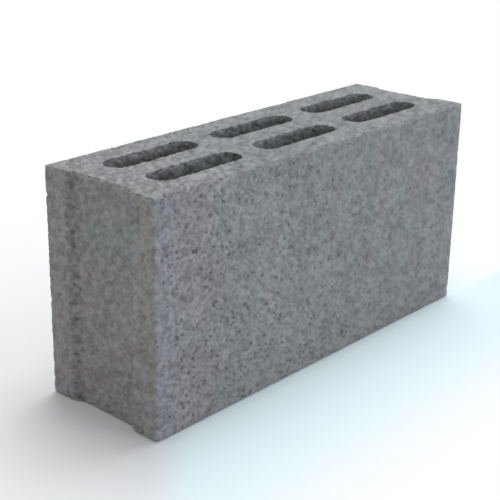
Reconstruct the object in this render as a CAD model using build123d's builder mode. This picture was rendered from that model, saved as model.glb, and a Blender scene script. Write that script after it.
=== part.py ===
from build123d import *

import os

# Hollow concrete block for a thin wall, pressed in one piece from dry sandy concrete.
# Millimetres. X runs along the block, Y across it and Z up, from the centre of its lower bed.

# Overall size
block_length = 390.0
block_width = 120.0
block_height = 190.0

# Walls round the cores, as they are at the top bed, where they are thickest
face_shell = 25.0
middle_web = 23.5
end_web = 32.0
cross_web = 25.0

# Cores, the slots that run right through from bed to bed
core_rows = 2
core_columns = 3
core_draft = 0.4  # degrees that a core's walls lean out on their way down

# Groove down each end, where the mortar of the upright joint keys in
lug_width = 24.0
groove_depth = 4.5
groove_slope = 28.0  # degrees between a groove's slanted walls and the end face

# Edges
corner_radius = 2.0  # the four upright corners
groove_radius = 3.0  # where a groove's slanted walls meet its floor and the lugs
arris_radius = 1.5  # round the two beds
rim_bevel = 1.0  # round the mouths of the cores

# The groove lies between the two lugs
groove_mouth = block_width - 2 * lug_width

# The walls and webs leave the rest of the block to the cores
core_length = (block_length - 2 * end_web - (core_columns - 1) * cross_web) / core_columns
core_width = (block_width - 2 * face_shell - (core_rows - 1) * middle_web) / core_rows
column_spacing = core_length + cross_web
row_spacing = core_width + middle_web


with BuildPart() as block:
    # The outline seen from above, with a groove at each end
    with BuildSketch() as outline:
        RectangleRounded(block_length, block_width, corner_radius)
        with PolarLocations(block_length / 2, 2):
            Trapezoid(
                groove_mouth,
                groove_depth,
                groove_slope,
                rotation=90,
                align=(Align.CENTER, Align.MIN),
                mode=Mode.SUBTRACT,
            )
        fillet(outline.vertices(Select.LAST), groove_radius)
    extrude(amount=block_height)

    # The cores widen on their way down, so that the block slides off the bars that form them
    with BuildSketch(Plane.XY.offset(block_height)):
        with GridLocations(column_spacing, row_spacing, core_columns, core_rows):
            SlotOverall(core_length, core_width)
    extrude(amount=-block_height, taper=-core_draft, mode=Mode.SUBTRACT)

    # Edges round both beds, then round the mouths of the cores
    levels = block.faces().filter_by(Plane.XY).sort_by(Axis.Z)
    beds = [levels[0], levels[-1]]
    arrises = [edge for bed in beds for edge in bed.outer_wire().edges()]
    rims = [edge for bed in beds for mouth in bed.inner_wires() for edge in mouth.edges()]
    fillet(arrises, arris_radius)
    chamfer(rims, rim_bevel)

block.part.label = "concrete_block"

os.makedirs("parts", exist_ok=True)
export_step(block.part, "parts/concrete_block.step")
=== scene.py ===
import math
import random

import bmesh
import bpy
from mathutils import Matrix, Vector, noise


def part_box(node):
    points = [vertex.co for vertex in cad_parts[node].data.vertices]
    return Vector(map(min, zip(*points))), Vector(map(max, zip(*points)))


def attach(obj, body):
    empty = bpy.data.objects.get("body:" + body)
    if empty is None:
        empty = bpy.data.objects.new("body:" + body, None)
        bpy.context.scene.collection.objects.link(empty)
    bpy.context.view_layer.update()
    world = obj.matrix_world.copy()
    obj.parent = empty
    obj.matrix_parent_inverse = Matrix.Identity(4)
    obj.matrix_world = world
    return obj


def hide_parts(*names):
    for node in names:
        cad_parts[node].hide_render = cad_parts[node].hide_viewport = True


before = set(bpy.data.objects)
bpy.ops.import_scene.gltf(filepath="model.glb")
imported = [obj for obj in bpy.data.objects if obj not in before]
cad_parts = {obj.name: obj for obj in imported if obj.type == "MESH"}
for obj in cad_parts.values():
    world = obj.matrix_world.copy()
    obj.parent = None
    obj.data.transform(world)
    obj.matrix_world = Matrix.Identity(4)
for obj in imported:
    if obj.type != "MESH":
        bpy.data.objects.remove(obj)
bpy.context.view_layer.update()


# The camera stands in front of the block's left end, a little above it, as the photograph shows it.
# Its place, lens and shift come from fitting the block's straight edges, seen from 1.15 m away.
camera_place = (-0.7144, -0.6061, 0.4381)
camera_heading = math.radians(45.93)  # from +Y towards +X
camera_dip = math.radians(19.58)
camera_lens = 83.55  # on a sensor 36 mm wide
camera_shift = (0.1014, -0.0472)

camera = bpy.data.objects.new("camera", bpy.data.cameras.new("camera"))
bpy.context.collection.objects.link(camera)
camera.location = camera_place
camera.rotation_euler = (math.pi / 2 - camera_dip, 0, -camera_heading)
camera.data.sensor_width = 36
camera.data.lens = camera_lens
camera.data.shift_x, camera.data.shift_y = camera_shift
camera.data.clip_start, camera.data.clip_end = 0.05, 50
bpy.context.scene.camera = camera


# The block is one piece of dry sandy concrete, shaken and pressed in a steel mould, so its faces are
# full of sand grains and small open pores, and its edges crumble a little. Six round-ended slots run
# through it, and a shallow groove runs down each end.
block_low, block_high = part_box("concrete_block")
block_length, block_width, block_height = block_high - block_low
face_shell, middle_web = 0.025, 0.0235
end_web, cross_web = 0.032, 0.025
slot_length = (block_length - 2 * end_web - 2 * cross_web) / 3
slot_width = (block_width - 2 * face_shell - middle_web) / 2
slot_draft = math.tan(math.radians(0.4))
lug_width, groove_depth, groove_run = 0.024, 0.0045, 0.0085
corner_radius, arris_radius, rim_bevel = 0.002, 0.0015, 0.001

# A flat net of cells about 2 mm wide, in strips that follow the webs, the shells and the slots
cells_along = [(end_web, 16), (slot_length, 46), (cross_web, 12), (slot_length, 46),
               (cross_web, 12), (slot_length, 46), (end_web, 16)]
cells_across = [(face_shell, 12), (slot_width, 12), (middle_web, 12), (slot_width, 12), (face_shell, 12)]


def strip_lines(strips):
    """Where the net's lines lie, centred on zero, for strips of (width, number of cells)."""
    line = -sum(width for width, cells in strips) / 2
    lines = [line]
    for width, cells in strips:
        for cell in range(cells):
            line += width / cells
            lines.append(line)
    return lines


lines_x, lines_y = strip_lines(cells_along), strip_lines(cells_across)
block_mesh = bmesh.new()
bmesh.ops.create_grid(block_mesh, x_segments=len(lines_x) - 1, y_segments=len(lines_y) - 1, size=0.5)
for vert in block_mesh.verts:
    vert.co.x = lines_x[round((vert.co.x + 0.5) * (len(lines_x) - 1))]
    vert.co.y = lines_y[round((vert.co.y + 0.5) * (len(lines_y) - 1))]

# The six slots: the cells inside them go, the ragged rims left behind move onto the round ends, and the
# cells near them are evened out
slot_radius = slot_width / 2
spine_half = slot_length / 2 - slot_radius
slot_columns = (-(slot_length + cross_web), 0, slot_length + cross_web)
slot_rows = (-(slot_width + middle_web) / 2, (slot_width + middle_web) / 2)
slot_spines = [(Vector((x - spine_half, y, 0)), Vector((x + spine_half, y, 0)))
               for x in slot_columns for y in slot_rows]
evened_reach = 0.006


def from_slot(point):
    """The spot on the nearest slot's spine, and how far the point is from that slot's wall."""
    best = None
    for start, end in slot_spines:
        along = min(max(point.x, start.x), end.x)
        spot = Vector((along, start.y, 0))
        gap = (Vector((point.x, point.y, 0)) - spot).length - slot_radius
        if best is None or gap < best[1]:
            best = (spot, gap)
    return best


outer_rim = {vert for vert in block_mesh.verts if vert.is_boundary}
slot_cells = [face for face in block_mesh.faces if from_slot(face.calc_center_median())[1] < 0]
bmesh.ops.delete(block_mesh, geom=slot_cells, context="FACES")
slot_rims = [vert for vert in block_mesh.verts if vert.is_boundary and vert not in outer_rim]
for vert in slot_rims:
    spot, gap = from_slot(vert.co)
    vert.co = spot + (vert.co - spot).normalized() * slot_radius
near_slots = [vert for vert in block_mesh.verts
              if not vert.is_boundary and from_slot(vert.co)[1] < evened_reach]
for repeat in range(4):
    bmesh.ops.smooth_vert(block_mesh, verts=near_slots, factor=0.5, use_axis_x=True, use_axis_y=True)


def groove_at(y):
    """How deep the end groove is at a place across the block."""
    run = (block_width / 2 - lug_width - abs(y)) / groove_run
    rise = min(max(run, 0), 1)
    eased_rise = rise * rise * (3 - 2 * rise)
    return groove_depth * (0.7 * rise + 0.3 * eased_rise)


# The grooves press the outermost cells inwards, and the block's own corners are rounded
pressed_length = end_web - 0.004
for vert in block_mesh.verts:
    reach = (abs(vert.co.x) - (block_length / 2 - pressed_length)) / pressed_length
    if reach > 0:
        vert.co.x -= math.copysign(groove_at(vert.co.y) * reach, vert.co.x)
for vert in outer_rim:
    corner = Vector((math.copysign(block_length / 2 - corner_radius, vert.co.x),
                     math.copysign(block_width / 2 - corner_radius, vert.co.y), 0))
    past = vert.co - corner
    if past.x * corner.x > 0 and past.y * corner.y > 0:
        vert.co = corner + past.normalized() * corner_radius

# Raised to full height, its walls cut into rows. The rows in the slots grow taller towards the middle, where
# they aren't seen, and the slots widen downwards.
outer_cuts = 94
rows_to_middle, row_growth = 17, 1.12
draft_reach = 0.010  # how far from a slot the widening moves the net along with it
tiny = 1e-5
raised = bmesh.ops.extrude_face_region(block_mesh, geom=block_mesh.faces[:])["geom"]
raised_verts = [item for item in raised if isinstance(item, bmesh.types.BMVert)]
bmesh.ops.translate(block_mesh, verts=raised_verts, vec=(0, 0, block_height))
uprights = [edge for edge in block_mesh.edges
            if abs(edge.verts[0].co.z - edge.verts[1].co.z) > block_height / 2]
slot_uprights = [edge for edge in uprights if from_slot(edge.verts[0].co)[1] < tiny]
slot_set = set(slot_uprights)
outer_uprights = [edge for edge in uprights if edge not in slot_set]
bmesh.ops.subdivide_edges(block_mesh, edges=outer_uprights, cuts=outer_cuts, use_grid_fill=True)
slot_cut = bmesh.ops.subdivide_edges(block_mesh, edges=slot_uprights, cuts=2 * rows_to_middle - 1,
                                     use_grid_fill=True)["geom_inner"]
for vert in {item for item in slot_cut if isinstance(item, bmesh.types.BMVert)}:
    from_mouth = rows_to_middle * (1 - abs(2 * vert.co.z / block_height - 1))
    row_height = block_height / 2 * (row_growth ** from_mouth - 1) / (row_growth ** rows_to_middle - 1)
    vert.co.z = row_height if vert.co.z < block_height / 2 else block_height - row_height
for vert in block_mesh.verts:
    spot, gap = from_slot(vert.co)
    if gap < draft_reach:
        spot.z = vert.co.z
        outwards = (vert.co - spot).normalized()
        vert.co += outwards * (block_height - vert.co.z) * slot_draft * (1 - max(gap, 0) / draft_reach)
bmesh.ops.recalc_face_normals(block_mesh, faces=block_mesh.faces[:])


def from_slot_wall(point):
    """How far a point is from the nearest slot's wall, now that the slots widen downwards."""
    return from_slot(point)[1] - (block_height - point.z) * slot_draft


rim_slack, wall_slack = 0.0002, 0.0004  # how near a corner counts as on a slot's wall


def bed_edges(of_slots):
    """The edges where the beds meet the outer walls, or the slots' walls."""
    chosen = []
    for edge in block_mesh.edges:
        if len(edge.link_faces) == 2 and edge.calc_face_angle() > math.radians(60):
            heights = [vert.co.z for vert in edge.verts]
            on_beds = max(heights) < tiny or min(heights) > block_height - tiny
            if on_beds and (from_slot_wall(edge.verts[0].co) < rim_slack) == of_slots:
                chosen.append(edge)
    return chosen


bmesh.ops.bevel(block_mesh, geom=bed_edges(False), offset=arris_radius, offset_type="OFFSET", segments=2,
                profile=0.5, affect="EDGES", material=-1, clamp_overlap=True)
bmesh.ops.bevel(block_mesh, geom=bed_edges(True), offset=rim_bevel, offset_type="OFFSET", segments=1,
                profile=0.5, affect="EDGES", material=-1, clamp_overlap=True)


def to_nearest_edge(point):
    """How far a point on the skin is from the nearest arris, upright corner or slot rim."""
    to_bed = min(point.z, block_height - point.z)
    to_side = block_width / 2 - abs(point.y)
    to_end = block_length / 2 - groove_at(point.y) - abs(point.x)
    to_slot = abs(from_slot_wall(point))
    skins = sorted((to_bed, to_side, to_end, to_slot))
    return max(skins[1], 0)


# The skin: each corner of the net slides a little along the surface, and sinks by waves, grit and crumbled
# edges, and here and there by a pit that a lost grain has left. It is smoother on the ends, on the beds and,
# as in the photograph, towards the right.
random.seed(11)
cell_size, slide_share = 0.002, 0.36
wave_depth, grit_depth, crumble_depth, chip_depth = 0.00022, 0.0003, 0.0008, 0.0014
shallow_pit, deep_pit, pit_share = 0.0004, 0.0013, 0.11
wide_pit_luck, joined_share = 0.003, 0.07  # when a pit takes all its neighbours, and how often one of them
pitted_mouth = 0.03  # how far in from its mouths a slot's wall is pitted
worn_width = 0.0019  # how far from an edge it crumbles
bed_zone, upright_wear = 0.003, 0.6  # away from the beds, the edges crumble less
pit_layer = block_mesh.verts.layers.float.new("pit")
inside_layer = block_mesh.verts.layers.float.new("inside")
block_mesh.normal_update()


def in_order(verts):
    """The corners sorted by their places, so that each run gives them the same random numbers."""
    return sorted(verts, key=lambda vert: vert.co.to_tuple(6))


def on_slot_wall(vert):
    """Whether a corner of the net lies on a slot's wall."""
    return from_slot_wall(vert.co) < wall_slack


skin = in_order(block_mesh.verts)
pits = {}
for vert in skin:
    in_slot = on_slot_wall(vert)
    crowding = 1 + 0.8 * noise.noise(vert.co * 70 + Vector((5, 5, 1))) + 0.5 * in_slot
    luck = random.random() / crowding
    if luck > pit_share or in_slot and pitted_mouth < vert.co.z < block_height - pitted_mouth:
        continue
    pits[vert] = random.uniform(shallow_pit, deep_pit)
    for other in in_order(edge.other_vert(vert) for edge in vert.link_edges):
        if luck < wide_pit_luck or random.random() < joined_share:
            pits[other] = max(pits[vert] * random.uniform(0.6, 1), pits.get(other, 0))
moves = []
for vert in skin:
    edge_gap = to_nearest_edge(vert.co)
    slide = Vector([random.uniform(-1, 1) for axis in range(3)])
    slide *= slide_share * cell_size * min(edge_gap / cell_size, 1)
    slide -= vert.normal * slide.dot(vert.normal)
    wave = 0.5 + 0.5 * noise.noise(vert.co * 45)
    in_slot = on_slot_wall(vert)
    faces_end = abs(vert.normal.x) > 0.8 and not in_slot
    faces_bed = abs(vert.normal.z) > 0.8
    to_right = min(max((vert.co.x + 0.2) / 0.36, 0), 1)
    smoothness = max(0.35 * faces_end, 0.3 * faces_bed, 0.45 * to_right)
    grit = grit_depth * (1 + in_slot) * (1 - smoothness)
    sink = wave_depth * wave + grit * random.random() + pits.get(vert, 0) * (1 - smoothness)
    near_edge = math.exp(-((edge_gap / worn_width) ** 2))
    if bed_zone < vert.co.z < block_height - bed_zone:
        near_edge *= upright_wear
    crumble = 0.5 * max(noise.noise(vert.co * 260 + Vector((9, 1, 4))) + 0.3, 0) + 0.7 * random.random()
    chip = max(noise.noise(vert.co * 110 + Vector((2, 8, 6))) - 0.45, 0) / 0.4
    sink += near_edge * (crumble_depth * crumble + chip_depth * min(chip, 1))
    # How deep its pit is, which the finish turns into painted shade
    vert[pit_layer] = pits.get(vert, 0) / deep_pit * (1 - smoothness)
    vert[inside_layer] = 1.0 if in_slot else 0.0
    moves.append((vert, slide - vert.normal * sink))
for vert, move in moves:
    moved = zip(vert.co + move, block_low, block_high)
    vert.co = [min(max(value, low), high) for value, low, high in moved]
bmesh.ops.triangulate(block_mesh, faces=block_mesh.faces[:], quad_method="SHORT_EDGE")

block_mesh.normal_update()
for face in block_mesh.faces:
    face.smooth = True
for edge in block_mesh.edges:
    edge.smooth = edge.calc_face_angle(0) < math.radians(50)

block_data = bpy.data.meshes.new("block")
block_mesh.to_mesh(block_data)
block_mesh.free()
block = bpy.data.objects.new("block", block_data)
bpy.context.collection.objects.link(block)
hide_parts("concrete_block")
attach(block, "root")

# Its finish: cement grey, speckled with sand, pitted between the grains, in faintly warm and cool patches.
# Painted shade darkens its pits, pores, groove walls and slots, a painted highlight lightens its arrises,
# and painted light lifts its ends.
concrete = bpy.data.materials.new("concrete")
concrete.use_nodes = True
tree = concrete.node_tree
concrete_shader = tree.nodes["Principled BSDF"]


def node(kind, inputs, **settings):
    """A new node of the finish in hand, set up, with values or other nodes' outputs in its inputs."""
    made = tree.nodes.new(kind)
    for name, value in settings.items():
        setattr(made, name, value)
    for name, value in inputs.items():
        if isinstance(value, bpy.types.NodeSocket):
            tree.links.new(value, made.inputs[name])
        else:
            made.inputs[name].default_value = value
    return made


def sum_of(operation, first, second):
    """The result of one sum on two numbers."""
    return node("ShaderNodeMath", {0: first, 1: second}, operation=operation).outputs[0]


def product(first, *others):
    """Numbers multiplied by each other."""
    result = first
    for other in others:
        result = sum_of("MULTIPLY", result, other)
    return result


def total(first, *others):
    """Numbers added up."""
    result = first
    for other in others:
        result = sum_of("ADD", result, other)
    return result


def less(first, second):
    """The first number less the second."""
    return sum_of("SUBTRACT", first, second)


def larger(first, second):
    """The larger of two numbers."""
    return sum_of("MAXIMUM", first, second)


def size_of(number):
    """A number without its sign."""
    return sum_of("ABSOLUTE", number, 0.0)


def spread(value, low, high, new_low, new_high):
    """A number stretched from one range to another, held at the ends, eased between them."""
    ranges = {"Value": value, "From Min": low, "From Max": high, "To Min": new_low, "To Max": new_high}
    return node("ShaderNodeMapRange", ranges, interpolation_type="SMOOTHSTEP").outputs["Result"]


def between(amount, at_none, at_full):
    """A number that goes from one value to another as the amount goes from 0 to 1."""
    return spread(amount, 0, 1, at_none, at_full)


def clouds(place, scale, detail):
    """Soft noise of one size, from 0 to 1."""
    return node("ShaderNodeTexNoise", {"Vector": place, "Scale": scale, "Detail": detail}).outputs["Fac"]


def vector_sum(operation, inputs):
    """The result of one sum on places or colours."""
    return node("ShaderNodeVectorMath", inputs, operation=operation).outputs["Vector"]


def blend_of(amount, first, second):
    """One colour turning into another."""
    made = node("ShaderNodeMix", {"Factor": amount, "A": first, "B": second}, data_type="RGBA")
    return made.outputs["Result"]


block_spot = node("ShaderNodeTexCoord", {}).outputs["Object"]
side = node("ShaderNodeSeparateXYZ", {0: block_spot}).outputs
from_middle = size_of(less(side["Z"], block_height / 2))

# The grains' and pores' shapes are matched to how the photograph shows them, not to how concrete forms. They
# are a little wider than high, more so towards the right, lean a little, and have ragged outlines. On the
# beds they are smaller, and drawn out along the way the camera looks, to look right from there.
aslant_x, aslant_y = 0.7185, 0.6955  # sine and cosine of the camera's heading
flat = sum_of("GREATER_THAN", from_middle, block_height / 2 - 0.0016)
aslant = total(product(side["X"], aslant_x), product(side["Y"], aslant_y))
drawn_out = product(aslant, flat, -0.40)
lean = product(total(side["X"], side["Y"]), 0.27, less(1.0, flat))
widening = less(0.75, product(side["X"], 0.4))
slack = less(0.94, product(side["X"], 0.3))
grain_x = total(product(side["X"], widening), product(drawn_out, aslant_x))
grain_y = total(product(side["Y"], 0.83), product(drawn_out, aslant_y))
grain_z = product(total(side["Z"], lean), slack)
grain = node("ShaderNodeCombineXYZ", {"X": grain_x, "Y": grain_y, "Z": grain_z}).outputs["Vector"]
grain = vector_sum("SCALE", {0: grain, "Scale": total(1.0, product(flat, 0.12))})
drift = node("ShaderNodeTexNoise", {"Vector": grain, "Scale": 420, "Detail": 0}).outputs["Color"]
drift = vector_sum("SUBTRACT", {0: drift, 1: (0.5, 0.5, 0.5)})
drift = vector_sum("SCALE", {0: drift, "Scale": 0.0024})
ragged = vector_sum("ADD", {0: grain, 1: drift})

# Where the grooves' slanted walls are, which the photograph shows darker and more open. Their darkening
# is painted shade in the groove, and more pores open on them.
slanted_wall_place = 0.0315  # how far their middles are from the block's
from_slanted_wall = size_of(less(size_of(side["Y"]), slanted_wall_place))
on_end = spread(size_of(side["X"]), 0.186, 0.1895, 0.0, 1.0)
groove_wall = product(spread(from_slanted_wall, 0.002, 0.008, 1.0, 0.0),
                      spread(side["Y"], -0.01, 0.01, 0.42, 1.0), on_end)

# Where the photograph shows a closer skin, with less of the grain and the pores: on the ends and towards
# the right. The lumps lose their fine detail there, and half of it on the beds.
closed = larger(on_end, spread(side["X"], -0.2, 0.16, 0.0, 1.0))
closed = less(closed, groove_wall)
on_bed = spread(from_middle, block_height / 2 - 0.002, block_height / 2 - 0.0008, 0.0, 1.0)
# A band along the arrises, lightened below by a painted highlight
arris_highlight = spread(from_middle, block_height / 2 - 0.0045, block_height / 2 - 0.0015, 0.0, 1.0)
arris_highlight = less(arris_highlight, product(on_bed, 0.8))
lump_detail = less(1.0, larger(product(closed, 0.8), product(on_bed, 0.5)))
sand = clouds(grain, 280, 0.3)
lumps = clouds(grain, 170, lump_detail)
clods = clouds(grain, 100, 1)
patches = clouds(block_spot, 24, 2)
pore_crowding = less(clouds(grain, 55, 1), 0.5)
pores = node("ShaderNodeTexVoronoi", {"Vector": ragged, "Scale": 225})
pore_pick = node("ShaderNodeSeparateColor", {"Color": pores.outputs["Color"]}).outputs["Green"]
pore_size = spread(total(pore_pick, pore_crowding), 0.32, 1.12, 0.0, 0.53)
pore_size = total(pore_size, product(groove_wall, 0.10))
pore_edge = less(pore_size, pores.outputs["Distance"])
# The pores, darkened below by painted shade in them, also dent the relief
shaded_pores = product(spread(pore_edge, 0.0, between(closed, 0.34, 0.50), 0.0, 1.0),
                    between(closed, 1.0, 0.75))
blot = spread(clouds(ragged, 290, 0), 0.30, between(larger(closed, on_bed), 0.47, 0.56), 1.0, 0.0)
painted_pit_shade = node("ShaderNodeAttribute", {}, attribute_name="pit").outputs["Fac"]
inside = node("ShaderNodeAttribute", {}, attribute_name="inside").outputs["Fac"]

tone = product(spread(sand, 0.3, 0.7, -0.11, 0.13), between(closed, 1.0, 0.3), between(on_bed, 1.0, 0.95))
tone = total(tone,
             spread(lumps, 0.3, 0.7, between(closed, 0.873, 0.885), between(closed, 1.123, 1.111)),
             product(spread(clods, 0.3, 0.7, -0.06, 0.06), on_bed),
             product(spread(sand, 0.3, 0.7, -0.16, 0.19), inside))
tone = product(tone,
               # the ends lighter: painted light on their shaded faces
               between(on_end, 1.0, 1.07),
               spread(patches, 0.3, 0.7, 0.95, 1.05),
               # painted shade in the pores
               between(shaded_pores, 1.02, 0.56),
               between(blot, 1.03, 0.865),
               # painted shade in the pits
               between(painted_pit_shade, 1.0, 0.72),
               # painted shade on the grooves' slanted walls
               between(groove_wall, 1.0, 0.85),
               # painted shade on the slots' walls
               between(inside, 1.0, 0.962),
               # painted highlight along the arrises
               between(arris_highlight, 1.0, 1.10),
               between(on_bed, 1.0, 0.988),
               # darker towards the foot, and towards the right
               spread(side["Z"], 0.03, 0.11, 0.965, 1.0),
               spread(side["X"], -0.15, 0.06, 1.0, 0.974))

# Faintly purple towards the left end and faintly green towards the right, in cloudy patches, with a painted
# bluish highlight tint down the near corner and a thin brown stain down the lug beside it
purple_grey, green_grey = (0.278, 0.268, 0.276, 1), (0.259, 0.272, 0.272, 1)
stain_brown, highlight_blue = (0.279, 0.273, 0.238, 1), (0.268, 0.272, 0.315, 1)
greener = total(clouds(block_spot, 17, 1), product(spread(side["X"], -0.15, -0.08, -0.5, 0.5), 0.14))
hue = blend_of(spread(greener, 0.35, 0.65, 0.0, 1.0), purple_grey, green_grey)
stain = product(spread(side["Y"], -0.059, -0.054, 0.0, 1.0),
                spread(side["Y"], -0.046, -0.040, 1.0, 0.0),
                spread(side["X"], -0.1895, -0.186, 1.0, 0.0),
                spread(side["Z"], 0.02, 0.08, 0.1, 1.0),
                spread(clouds(block_spot, 40, 1), 0.3, 0.6, 0.3, 1.0),
                spread(lumps, 0.35, 0.6, 1.0, 0.55))
hue = blend_of(stain, hue, stain_brown)
# A painted bluish highlight tint down the near corner, a little darker in tone
corner_highlight = product(spread(side["X"], -0.188, -0.175, 1.0, 0.0),
                spread(side["Y"], -0.0595, -0.057, 1.0, 0.0),
                spread(side["X"], -0.1945, -0.1905, 0.2, 1.0))
tone = product(tone, between(corner_highlight, 1.0, 0.95))
corner_highlight = product(corner_highlight,
                spread(clouds(block_spot, 45, 1), 0.35, 0.6, 0.1, 1.0),
                spread(sand, 0.4, 0.62, 0.25, 1.0))
hue = blend_of(product(corner_highlight, 0.75), hue, highlight_blue)
tree.links.new(vector_sum("SCALE", {0: hue, "Scale": tone}), concrete_shader.inputs["Base Color"])
concrete_shader.inputs["Roughness"].default_value = 0.95
concrete_shader.inputs["Specular IOR Level"].default_value = 0.25

grain_height = total(product(sand, 0.4), product(lumps, 0.6))
grain_height = less(grain_height, product(larger(shaded_pores, blot), 0.4))
relief = node("ShaderNodeBump", {"Height": grain_height, "Strength": 0.5, "Distance": 0.0015})
tree.links.new(relief.outputs["Normal"], concrete_shader.inputs["Normal"])
block_data.materials.append(concrete)


# The floor is one wide pale sheet just under the block's bed. It keeps the block's shadow, and away from
# the block it fades to plain white. In front of the block it is painted faintly cool, as the cool lamp's
# light there, and painted lighter close to the block, which weakens the block's shadow there.
floor_half = 6.0
floor_gap = 0.0002  # below the block, so that the two never share a plane
floor_mesh = bmesh.new()
bmesh.ops.create_grid(floor_mesh, x_segments=1, y_segments=1, size=floor_half)
bmesh.ops.translate(floor_mesh, verts=floor_mesh.verts[:], vec=(0, 0, -floor_gap))
floor_data = bpy.data.meshes.new("floor")
floor_mesh.to_mesh(floor_data)
floor_mesh.free()
floor = bpy.data.objects.new("floor", floor_data)
bpy.context.collection.objects.link(floor)

plain_white = (1, 1, 1, 1)
pale_grey, lit_grey = (0.92, 0.92, 0.92, 1), (0.82, 0.82, 0.82, 1)
# The cool lamp's light painted on the floor, as a colour and as a glow
cool_light_paint, cool_light_glow = (0.85, 0.975, 1.0, 1), (0.78, 0.96, 1.0, 1)
floor_paint = bpy.data.materials.new("floor paint")
floor_paint.use_nodes = True
tree = floor_paint.node_tree
floor_shader = tree.nodes["Principled BSDF"]
floor_shader.inputs["Roughness"].default_value = 0.8


def seen_itself():
    """1 for rays that show the thing itself or its mirror image, 0 for rays that only carry its light."""
    rays = node("ShaderNodeLightPath", {}).outputs
    return larger(rays["Is Camera Ray"], larger(rays["Is Glossy Ray"], rays["Is Transmission Ray"]))


floor_spot = node("ShaderNodeTexCoord", {}).outputs["Object"]
floor_side = node("ShaderNodeSeparateXYZ", {0: floor_spot}).outputs
seen = seen_itself()
tint_x, tint_y = 0.725, 0.689  # square to the line where the cool tint starts
rightwards = less(product(floor_side["X"], tint_x), product(floor_side["Y"], tint_y))
rightwards = spread(rightwards, -0.12, -0.07, 0.0, 1.0)
# Where the cool lamp's light is painted on the floor: in front of the block and to its right
cool_lit_sheet = product(rightwards, spread(floor_side["Y"], -0.06, 0.15, 1.0, 0.0))
# Just in front of the block, where painted light lifts the floor and its glow turns cool
painted_front_light = product(rightwards, spread(floor_side["Y"], -0.075, -0.05, 1.0, 0.0))
sheet = blend_of(seen, lit_grey, blend_of(cool_lit_sheet, pale_grey, cool_light_paint))
tree.links.new(sheet, floor_shader.inputs["Base Color"])

# How far each spot is past the block's sides, and so how far it has faded
past_block = vector_sum("ABSOLUTE", {0: floor_spot})
past_block = vector_sum("SUBTRACT", {0: past_block, 1: (block_length / 2, block_width / 2, 0)})
past_block = vector_sum("MAXIMUM", {0: past_block})  # nothing below 0
past_block = node("ShaderNodeVectorMath", {0: past_block}, operation="LENGTH").outputs["Value"]
fade_reach = less(0.40, product(rightwards, 0.11))
# painted light: in front of the block the floor fades sooner, which weakens the block's shadow there
fade = spread(total(past_block, product(painted_front_light, 0.085)), 0.0, fade_reach, 0.0, 1.0)
fade = larger(fade, spread(floor_side["X"], 0.195, 0.30, 0.0, 1.0))
glow = blend_of(spread(past_block, 0.05, 0.16, 0.0, 1.0), cool_light_glow, plain_white)
glow = blend_of(painted_front_light, plain_white, glow)
faded_floor = node("ShaderNodeEmission", {"Color": glow, "Strength": 1.0}).outputs["Emission"]
floor_mix = node("ShaderNodeMixShader",
                 {0: product(seen, fade), 1: floor_shader.outputs["BSDF"], 2: faded_floor})
tree.links.new(floor_mix.outputs["Shader"], tree.nodes["Material Output"].inputs["Surface"])
floor_data.materials.append(floor_paint)


# Soft studio light: a dim even room that looks white, a wide lamp overhead and a little behind, and a low,
# cooler lamp in front.
room_light, room_seen = 0.48, 1.0
world = bpy.data.worlds.new("world")
bpy.context.scene.world = world
world.use_nodes = True
tree = world.node_tree
room = tree.nodes["Background"]
room.inputs["Color"].default_value = plain_white
tree.links.new(between(seen_itself(), room_light, room_seen), room.inputs["Strength"])

lamps_aim = Vector((0, 0, 0.1))
lamps = [  # name, place, width, power, colour
    ("overhead lamp", (0.55, 0.22, 1.9), 1.4, 22.8, (0.96, 0.99, 1.03)),
    ("front lamp", (0.5, -2.05, 0.5), 1.0, 10, (0.8, 0.98, 1.15)),
]
for name, lamp_place, width, power, colour in lamps:
    lamp = bpy.data.objects.new(name, bpy.data.lights.new(name, "AREA"))
    bpy.context.collection.objects.link(lamp)
    lamp.data.shape = "DISK"
    lamp.data.size = width
    lamp.data.energy = power
    lamp.data.color = colour
    lamp.location = lamp_place
    lamp.rotation_euler = (lamps_aim - lamp.location).to_track_quat("-Z", "Y").to_euler()

bpy.context.scene.view_settings.view_transform = "Standard"
